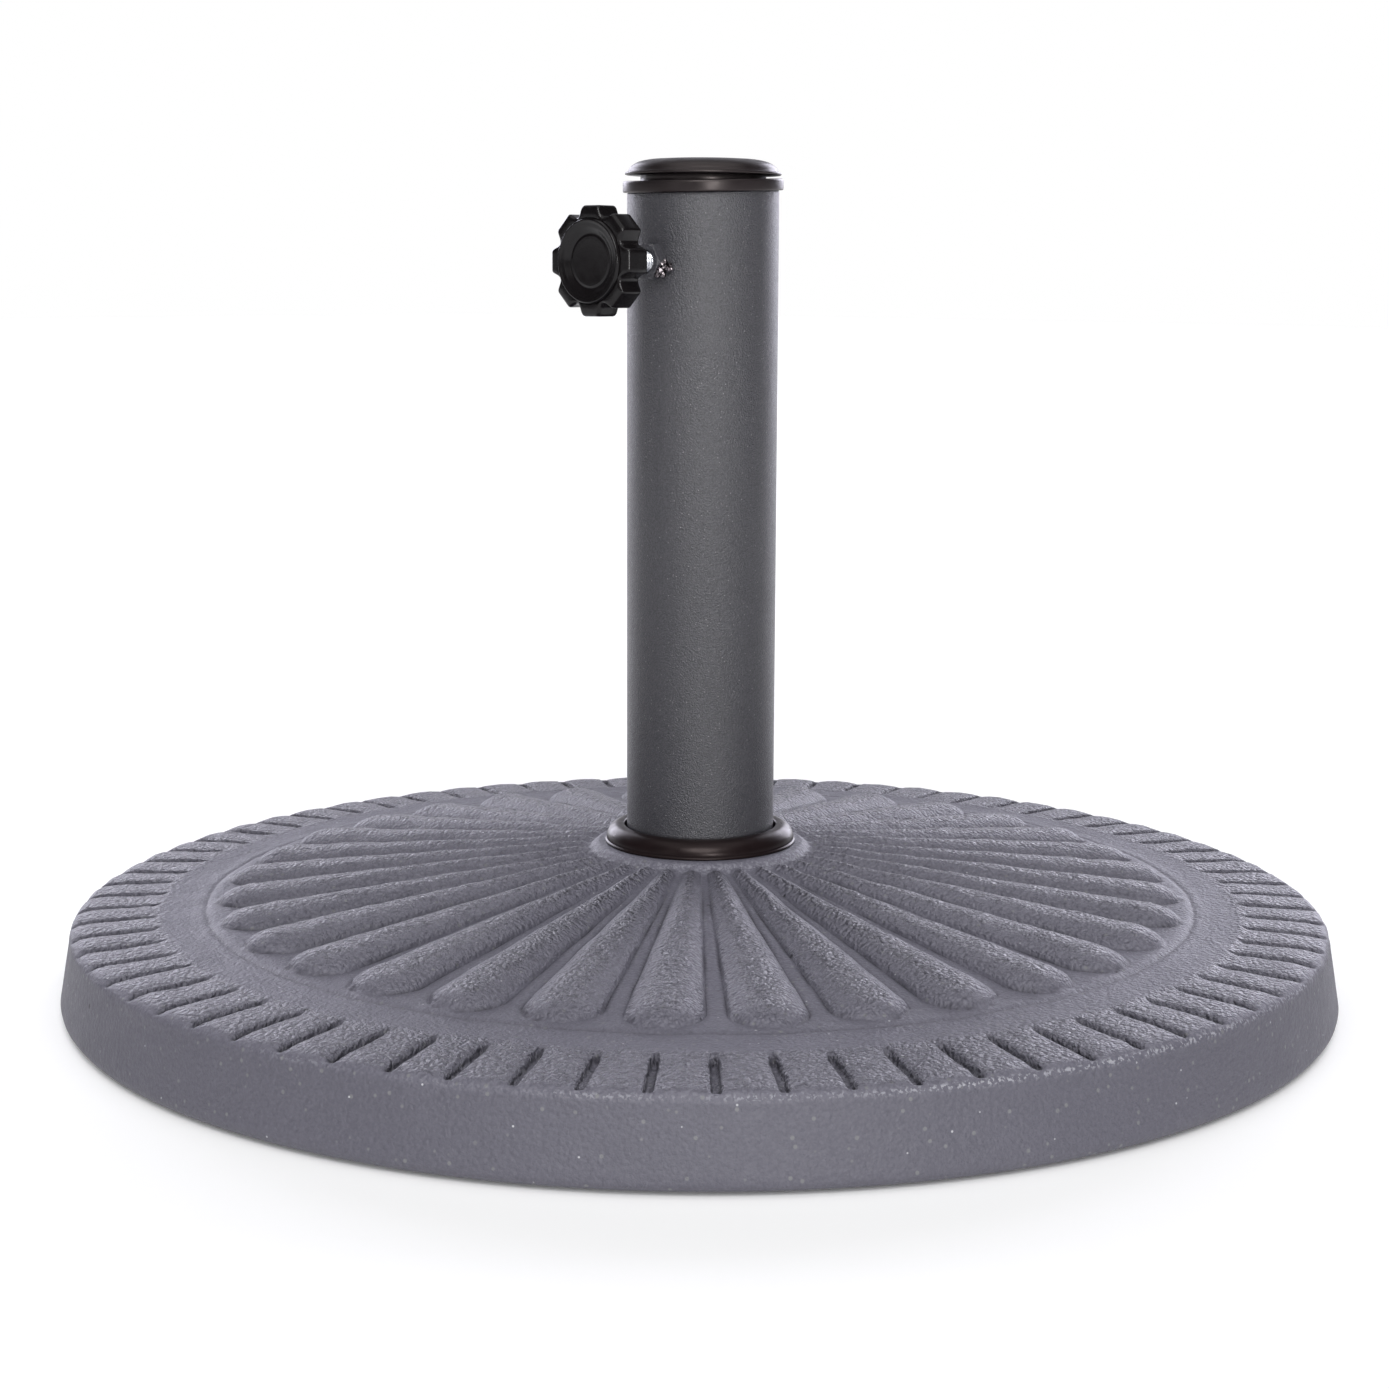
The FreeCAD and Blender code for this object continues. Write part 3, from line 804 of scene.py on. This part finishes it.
def make_nut():
    """Painted M8 nut: hexagon whose outer corners are chamfered, round mouth."""
    columns = 144
    angles = 2 * np.pi * np.arange(columns) / columns
    across = nut.high[2] - nut.low[2]
    hexed = hexagon_radius(across, angles)
    outer = -nut.low[1]
    start = tube.r - 1.35
    rows = [(start, hexed), (outer - 1.2, hexed)]
    for drop in (0.9, 0.6, 0.35, 0.15, 0.0):
        cone = across / 2 - 0.15 + drop * 1.7
        rows.append((outer - drop, np.minimum(hexed, cone)))
    mouth = [(4.7, outer), (4.25, outer - 0.4), (4.1, outer - 1.0), (4.1, start)]
    rings = outlined(rows, angles) + turned(mouth, columns)
    verts, faces = skin(on_knob_axis(rings), loop=True)
    piece("screw_nut", verts, faces, PAINT, "post_paint", "base", "knob_nut", sharp=28)


def lump(at, size, seed):
    """(vertices, faces) of one uneven weld bead about a point."""
    steps = 14
    polar = [math.pi * i / steps for i in range(steps + 1)]
    verts, faces = skin(turned([(math.sin(p), math.cos(p)) for p in polar], 24))
    shift = Vector((seed, 2 * seed, 0))
    ball = [Vector(v) for v in verts]
    verts = [tuple(Vector(at) + p * size * (1 + 0.28 * noise.noise(p * 1.6 + shift))) for p in ball]
    return verts, turned_over(faces)


def make_welds():
    """Tack welds at the nut's two lower side corners: uneven beads that climb from the post onto the nut."""
    beads = []
    for side in (-1, 1):
        for k, (x, y, rise, size) in enumerate(TACKS):
            beads.append(lump((side * x, y, KNOB_Z + rise), size, 4 * side + k))
    verts, faces = joined(beads)
    piece("tack_welds", verts, faces, WELD, "raw_steel", "base", "knob_nut_welds")


make_tube()
make_nut()
make_welds()


# ---- loose plastic parts ----
RING_BORE = 29.5
SLEEVE_BORE = 24.5
SLEEVE_MOUTH = 25.0
FLANGE_WIDTH = 3.5
# The flange is thicker upward than the CAD's.
FLANGE_EXTRA = 0.7
SLOT_HALF = 6.5


def make_trim_ring():
    """Loose collar: a small bead round its lower edge, and a rounded shoulder above."""
    z = ring.z0
    bead_turn = np.radians(np.linspace(-60, 75, 8))
    shoulder_turn = np.radians(np.linspace(4, 90, 14))
    profile = [(RING_BORE, z + 0.3), (RING_BORE + 0.4, z), (ring.r - 0.7, z)]
    profile += [(ring.r - 0.5 + 0.55 * math.cos(a), z + 0.62 + 0.55 * math.sin(a)) for a in bead_turn]
    profile += [(ring.r - 0.55, z + 1.3)]
    profile += [(ring.r - 6.1 + 5.6 * math.cos(a), z + 1.4 + 5.6 * math.sin(a)) for a in shoulder_turn]
    profile += [(RING_BORE + 0.8, ring.z1), (RING_BORE + 0.35, ring.z1 - 0.08)]
    profile += [(RING_BORE + 0.1, ring.z1 - 0.3), (RING_BORE, ring.z1 - 0.7)]
    verts, faces = skin(turned(profile, 160), loop=True)
    piece("collar_ring", verts, faces, RING_PLASTIC, "black_plastic", "ring", "trim_ring")


def cut_slot(made):
    """Cut the sleeve's slot: straight sides from its lower end, and a round top about the screw."""
    turn = np.radians(np.linspace(0, 180, 32))
    arc = [(SLOT_HALF * math.cos(a), KNOB_Z + SLOT_HALF * math.sin(a)) for a in turn]
    below = sleeve.z0 - 5
    outline = [(SLOT_HALF, below)] + arc + [(-SLOT_HALF, below)]
    inside = [(x, -15, z) for x, z in outline]
    outside = [(x, -40, z) for x, z in outline]
    verts, faces = skin([inside, outside])
    count = len(outline)
    faces += [tuple(reversed(range(count))), tuple(range(count, 2 * count))]
    cutter = linked("slot_cutter", mesh_of("slot_cutter", verts, faces))
    cut = made.modifiers.new("slot", "BOOLEAN")
    cut.operation = "DIFFERENCE"
    cut.object = cutter
    graph = bpy.context.evaluated_depsgraph_get()
    result = bpy.data.meshes.new_from_object(made.evaluated_get(graph))
    made.modifiers.clear()
    made.data = result
    result.set_sharp_from_angle(angle=math.radians(40))
    bpy.data.objects.remove(cutter)


def make_sleeve():
    """Flanged liner, split from its lower end to above the screw."""
    outer = sleeve.r - FLANGE_WIDTH
    under = tube.z1
    bottom = sleeve.z0
    top = sleeve.z1 + FLANGE_EXTRA
    step = sleeve.z1 - 14.5
    profile = rounded([
        (SLEEVE_BORE, bottom), (outer - 0.8, bottom, 0.3), (outer, bottom + 2, 0.5), (outer, under),
        (sleeve.r, under, 0.7), (sleeve.r, top, 0.9), (SLEEVE_MOUTH, top, 0.6),
        (SLEEVE_MOUTH, step), (SLEEVE_BORE, step), (SLEEVE_BORE, bottom + 20),
    ], steps=5)
    verts, faces = skin(turned(profile, 160), loop=True)
    made = piece("sleeve_liner", seated(verts), faces, PLASTIC, "black_plastic", "sleeve", "reducer_sleeve")
    cut_slot(made)


def make_cap():
    """Domed plug: a hollow spigot, a recessed neck, a brim and a crown."""
    top = cap.z1
    low = cap.z0
    brim = top - 6.1
    lip = top - 5.0
    seat = sleeve.z1
    profile = [(0, top - 2.6), (18, top - 2.8), (20.6, top - 3.6), (21.4, top - 5)]
    profile += [(21.4, low + 0.3), (21.7, low), (23.7, low), (24.1, low + 0.2), (24.6, low + 1.5)]
    profile += [(24.6, seat - 2.2), (24.3, seat - 1.9), (23.6, seat - 1.2), (23.6, brim - 0.3), (23.9, brim)]
    profile += [(cap.r - 0.35, brim), (cap.r - 0.1, brim + 0.1), (cap.r, brim + 0.35), (cap.r, brim + 0.7)]
    profile += [(cap.r - 0.15, brim + 0.95), (cap.r - 0.5, lip + 0.02), (28.55, lip + 0.05)]
    profile += [(28.3, lip + 0.15), (27.9, lip + 1.1), (27.1, lip + 2.1), (25.9, lip + 3.0)]
    profile += [(24.3, lip + 3.75), (22.4, lip + 4.25), (20.2, lip + 4.6), (16.0, lip + 4.85)]
    profile += [(10.0, lip + 4.95), (4.0, top), (0, top)]
    verts, faces = skin(turned(profile, 160))
    piece("cap_plug", verts, faces, PLASTIC, "black_plastic", "cap", "top_cap", sharp=60)


make_trim_ring()
make_sleeve()
make_cap()


# ---- clamp knob ----
# Distances along the knob's axis are from the post's middle, outward.
LOBES = 8
LOBE_R = grip.high[2] - KNOB_Z + 0.25
VALLEY_R = LOBE_R - 3.3
LOBE_HALF_FLAT = 4.2
GRIP_BACK = 50.9
GRIP_FRONT = 61.2
RECESS_FLOOR = 60.15
HUB_R = 6.4
HUB_FILLET = 3.4
THREAD_PITCH = 1.25
THREAD_MAJOR = 3.95
THREAD_MINOR = 3.3
THREAD_END = 46.0


def lobed_outline(count=384):
    """Radii round the knob: flat-topped lobes with shallow scallops, their corners eased."""
    angles = 2 * np.pi * np.arange(count) / count
    pitch = 2 * np.pi / LOBES
    away = np.abs(from_nearest(angles, np.pi / 2, pitch))
    tip = LOBE_HALF_FLAT / LOBE_R
    t = np.clip((away - tip) / (pitch / 2 - tip), 0, 1)
    radii = VALLEY_R + (LOBE_R - VALLEY_R) * (1 - np.sin(np.pi / 2 * t)) ** 1.1
    flat = LOBE_R * math.cos(tip) / np.cos(np.minimum(away, tip)) + 0.12
    radii = np.where(away < tip, flat, radii)
    window = bell(np.arange(-6, 7) / 2.0)
    padded = np.concatenate([radii[-6:], radii, radii[:6]])
    return angles, np.convolve(padded, window / window.sum(), mode="valid")


def make_grip():
    """Hub, root fillet, lobed disc with eased edges, and the recess for the face disc."""
    angles, outline = lobed_outline()
    hub_back = -grip.high[1]
    circle = np.ones(len(angles))
    rows = []
    for rise, r in ((1.6, 3.0), (1.4, 4.3), (0.2, 4.7), (0, 5.0), (0, 5.6), (0.15, 5.9), (0.5, 6.1)):
        rows.append((hub_back + rise, r * circle))
    rows += [(GRIP_BACK - 8, 6.2 * circle), (GRIP_BACK - 4, HUB_R * circle)]
    for a in np.radians(np.linspace(15, 90, 6)):
        r = HUB_R + HUB_FILLET * (1 - math.cos(a))
        rows.append((GRIP_BACK - HUB_FILLET * (1 - math.sin(a)), r * circle))
    rows.append((GRIP_BACK, 0.5 * 11.5 * circle + 0.5 * (outline - 2.6)))
    for inset, rise in ((1.6, 0.02), (1.0, 0.14), (0.5, 0.4), (0.18, 0.8), (0.0, 1.4)):
        rows.append((GRIP_BACK + rise, outline - inset))
    rows.append(((GRIP_BACK + GRIP_FRONT) / 2, outline))
    for inset, drop in ((0.0, 1.6), (0.16, 1.0), (0.5, 0.5), (1.0, 0.16), (1.5, 0.03)):
        rows.append((GRIP_FRONT - drop, outline - inset))
    rows += [(GRIP_FRONT, 0.35 * (outline - 1.5) + 0.65 * 15.6), (GRIP_FRONT - 0.05, 15.55 * circle)]
    rows += [(GRIP_FRONT - 0.3, 15.5 * circle), (RECESS_FLOOR, 15.45 * circle)]
    rings = [[(0, 0, hub_back + 1.6)]] + outlined(rows, angles) + [[(0, 0, RECESS_FLOOR)]]
    verts, faces = skin(on_knob_axis(rings))
    piece("hand_knob", verts, faces, KNOB_PLASTIC, "black_plastic", "knob", "knob_grip", sharp=50)


def make_face():
    """Disc in the knob: eased outer edge, raised rim, sloping band, and a shallow inner dish."""
    front = -face.low[1]
    profile = rounded([
        (0, front - 1.7), (15.35, front - 1.7, 0.1), (15.35, front - 0.6, 0.3),
        (14.9, front + 0.3, 0.5), (14.2, front + 0.3, 0.4), (13.6, front - 0.1, 0.3),
        (12.2, front - 0.3, 0.5), (10.2, front - 1.55, 0.5), (9.4, front - 1.55, 0.3),
        (9.0, front - 1.35, 0.3), (6.0, front - 1.45, 2.0), (2.0, front - 1.5, 2.0), (0, front - 1.5),
    ], steps=5)
    verts, faces = skin(on_knob_axis(turned(profile, 160)))
    piece("knob_disc", verts, faces, KNOB_PLASTIC, "black_plastic", "knob", "knob_face", sharp=60)


def make_screw():
    """M8 stud: a right-hand thread that runs out before the knob, a plain shank, and its buried head."""
    start = -screw.high[1]
    columns = 48
    angles = 2 * np.pi * np.arange(columns) / columns
    rows = []
    for z in np.arange(start + 0.7, THREAD_END, THREAD_PITCH / 10):
        phase = (z / THREAD_PITCH - angles / (2 * np.pi)) % 1
        tooth = np.clip((0.5 - np.abs(phase - 0.5)) * 2.6 - 0.15, 0, 1)
        fade = min(1, (z - start - 0.2) / 1.0)
        rows.append((z, THREAD_MINOR + (THREAD_MAJOR - THREAD_MINOR) * tooth * fade))
    shank = [(THREAD_MAJOR, THREAD_END + 0.2), (THREAD_MAJOR, 54.8)]
    head = [(6.4, 54.9), (6.5, 59.9), (6.2, 60.05), (0, 60.05)]
    rings = [[(0, 0, start)]] + turned([(2.3, start), (3.1, start + 0.05)], columns)
    rings += outlined(rows, angles) + turned(shank + head, columns)
    verts, faces = skin(on_knob_axis(rings))
    piece("zinc_stud", verts, faces, ZINC, "zinc_steel", "knob", "clamp_screw", sharp=50)


def make_tip_pad():
    """Nylon button on the screw's tip, with a stem inside the screw."""
    z0 = -tip_pad.high[1]
    profile = rounded([
        (0, z0), (3.0, z0, 0.5), (3.0, z0 + 2.0, 0.3), (1.4, z0 + 2.0), (1.4, z0 + 5.8, 0.3), (0, z0 + 6.0),
    ])
    verts, faces = skin(on_knob_axis(turned(profile, 64)))
    piece("tip_pad", verts, faces, NYLON, "nylon", "screw_tip", "screw_tip_pad")


make_grip()
make_face()
make_screw()
make_tip_pad()


# ---- underside ----
PAD_COUNT = 6
PAD_R = 12.0
WASHER_BORE = 5.5


def make_pads():
    """Rubber pads with two shallow rings in the face that meets the ground."""
    circle = (pads.high[1] - pads.low[1]) / 2 - PAD_R
    profile = rounded([
        (0, 0.5), (3.0, 0.5, 0.3), (3.4, 0, 0.3), (6.2, 0, 0.3), (6.6, 0.5, 0.3), (7.6, 0.5, 0.3),
        (8.0, 0, 0.3), (PAD_R - 0.9, 0, 0.6), (PAD_R, 0.9, 0.6), (PAD_R, pads.z1, 0.1), (0, pads.z1),
    ])
    parts = []
    for k in range(PAD_COUNT):
        a = math.radians(360 / PAD_COUNT * (k + 0.5))
        parts.append(skin(turned(profile, 72, (circle * math.cos(a), circle * math.sin(a)))))
    verts, faces = joined(parts)
    piece("ground_pads", verts, faces, RUBBER, "pad_rubber", "base", "foot_pads")


def make_washer():
    """Large washer with eased edges."""
    profile = rounded([
        (WASHER_BORE, washer.z0, 0.2), (washer.r, washer.z0, 0.4), (washer.r, washer.z1, 0.2),
        (WASHER_BORE, washer.z1, 0.2), (WASHER_BORE, washer.z0 + 0.6),
    ])
    verts, faces = skin(turned(profile[1:], 128), loop=True)
    piece("wide_washer", verts, faces, ZINC, "zinc_steel", "base", "base_washer")


make_pads()
make_washer()

# Pieces that keep the CAD's own mesh get a finish only.
CAD_FINISHES = {
    "end_plate": WELD, "end_plate_weld": WELD, "end_plate_nut": WELD, "end_plate_nut_welds": WELD,
    "base_bolt": ZINC, "spring_washer": ZINC,
}
for node, material in CAD_FINISHES.items():
    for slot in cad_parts[node].material_slots:
        slot.material = material


# ---- floor, light and camera ----
VIEW_AZIMUTH = 42.1
FLOOR_HALF = 12000
# The room's strength as light, behind the object and elsewhere.
BEHIND_STRENGTH = 0.62
ROOM_STRENGTH = 0.05
WHITE = (1.0, 1.0, 1.0)
BLUISH = (0.88, 0.87, 1.0)
# Each light's name; its azimuth from the camera's, elevation and disc's width in degrees; strength and colour.
SUNS = (
    ("front_soft", 3, 40, 36, 2.15, WHITE),
    ("left_soft", -40, 14, 26, 0.12, WHITE),
    ("low_soft", 14, 4, 14, 1.15, WHITE),
    ("top_soft", 0, 80, 70, 0.95, WHITE),
    ("back_left", -152, 15, 30, 1.1, BLUISH),
    ("back_right", 152, 15, 30, 1.25, BLUISH),
)
ROOM_COLOUR = (0.92, 0.92, 1.0, 1)
# The camera's place, in metres, is given as if the view's azimuth were 0. Its tilt is downward, in degrees.
CAMERA_PLACE = (-0.0024, -0.963, 0.2734)
CAMERA_TILT = 9.48
CAMERA_ROLL = 0.26
CAMERA_LENS = 65.19


def make_floor():
    """White floor that glows faintly, so that it meets the backdrop without an edge."""
    h = FLOOR_HALF
    mesh = mesh_of("floor", [(-h, -h, 0), (h, -h, 0), (h, h, 0), (-h, h, 0)], [(0, 1, 2, 3)])
    s = Shader("floor_white")
    s.set(Base_Color=(0.97, 0.97, 0.97, 1), Roughness=0.9, Specular_IOR_Level=0.1)
    s.set(Emission_Color=(1, 1, 1, 1), Emission_Strength=0.08)
    mesh.materials.append(s.material)
    floor = linked("floor", mesh)


def soft_sun(name, azimuth, elevation, spread, strength, colour):
    """Distant light whose disc is as wide as a large soft box, placed by its direction in degrees."""
    a, e = math.radians(azimuth), math.radians(elevation)
    towards = Vector((math.sin(a) * math.cos(e), -math.cos(a) * math.cos(e), math.sin(e)))
    light = bpy.data.lights.new(name, "SUN")
    light.angle = math.radians(spread)
    light.energy = strength
    light.color = colour
    lamp = linked(name, light)
    lamp.location = towards * 3
    lamp.rotation_euler = (-towards).to_track_quat("-Z", "Y").to_euler()


def make_world():
    """White where the camera sees it. As light, brightest behind the object, and dim elsewhere."""
    world = bpy.data.worlds.new("studio")
    bpy.context.scene.world = world
    world.use_nodes = True
    nodes, links = world.node_tree.nodes, world.node_tree.links
    a = math.radians(VIEW_AZIMUTH)
    behind = nodes.new("ShaderNodeVectorMath")
    behind.operation = "DOT_PRODUCT"
    behind.inputs[1].default_value = (-math.sin(a), math.cos(a), 0)
    links.new(nodes.new("ShaderNodeTexCoord").outputs["Generated"], behind.inputs[0])
    strength = nodes.new("ShaderNodeMapRange")
    strength.interpolation_type = "SMOOTHSTEP"
    strength.inputs["From Min"].default_value = 0.4
    strength.inputs["From Max"].default_value = 0.85
    strength.inputs["To Min"].default_value = ROOM_STRENGTH
    strength.inputs["To Max"].default_value = BEHIND_STRENGTH
    links.new(behind.outputs["Value"], strength.inputs["Value"])
    room = nodes["Background"]
    room.inputs["Color"].default_value = ROOM_COLOUR
    links.new(strength.outputs["Result"], room.inputs["Strength"])
    backdrop = nodes.new("ShaderNodeBackground")
    backdrop.inputs["Color"].default_value = (*WHITE, 1)
    backdrop.inputs["Strength"].default_value = 1.0
    both = nodes.new("ShaderNodeMixShader")
    links.new(nodes.new("ShaderNodeLightPath").outputs["Is Camera Ray"], both.inputs["Fac"])
    links.new(room.outputs["Background"], both.inputs[1])
    links.new(backdrop.outputs["Background"], both.inputs[2])
    links.new(both.outputs["Shader"], nodes["World Output"].inputs["Surface"])


def make_light():
    """The room, four soft lights from the camera's side and above, and two from behind."""
    make_world()
    for name, turn, elevation, spread, strength, colour in SUNS:
        soft_sun(name, VIEW_AZIMUTH + turn, elevation, spread, strength, colour)
    view = bpy.context.scene.view_settings
    view.view_transform = "Standard"
    view.look = "None"


def make_camera():
    """Camera a little left of the axis and looking slightly down."""
    camera = bpy.data.cameras.new("camera")
    camera.lens = CAMERA_LENS
    camera.sensor_width = 36.0
    camera.clip_start = 0.01
    camera.clip_end = 100
    turn = Matrix.Rotation(math.radians(VIEW_AZIMUTH), 4, "Z")
    nod = Matrix.Rotation(math.radians(90 - CAMERA_TILT), 4, "X")
    lean = Matrix.Rotation(math.radians(CAMERA_ROLL), 4, "Z")
    made = linked("camera", camera)
    made.matrix_world = turn @ Matrix.Translation(CAMERA_PLACE) @ nod @ lean
    bpy.context.scene.camera = made


make_floor()
make_light()
make_camera()
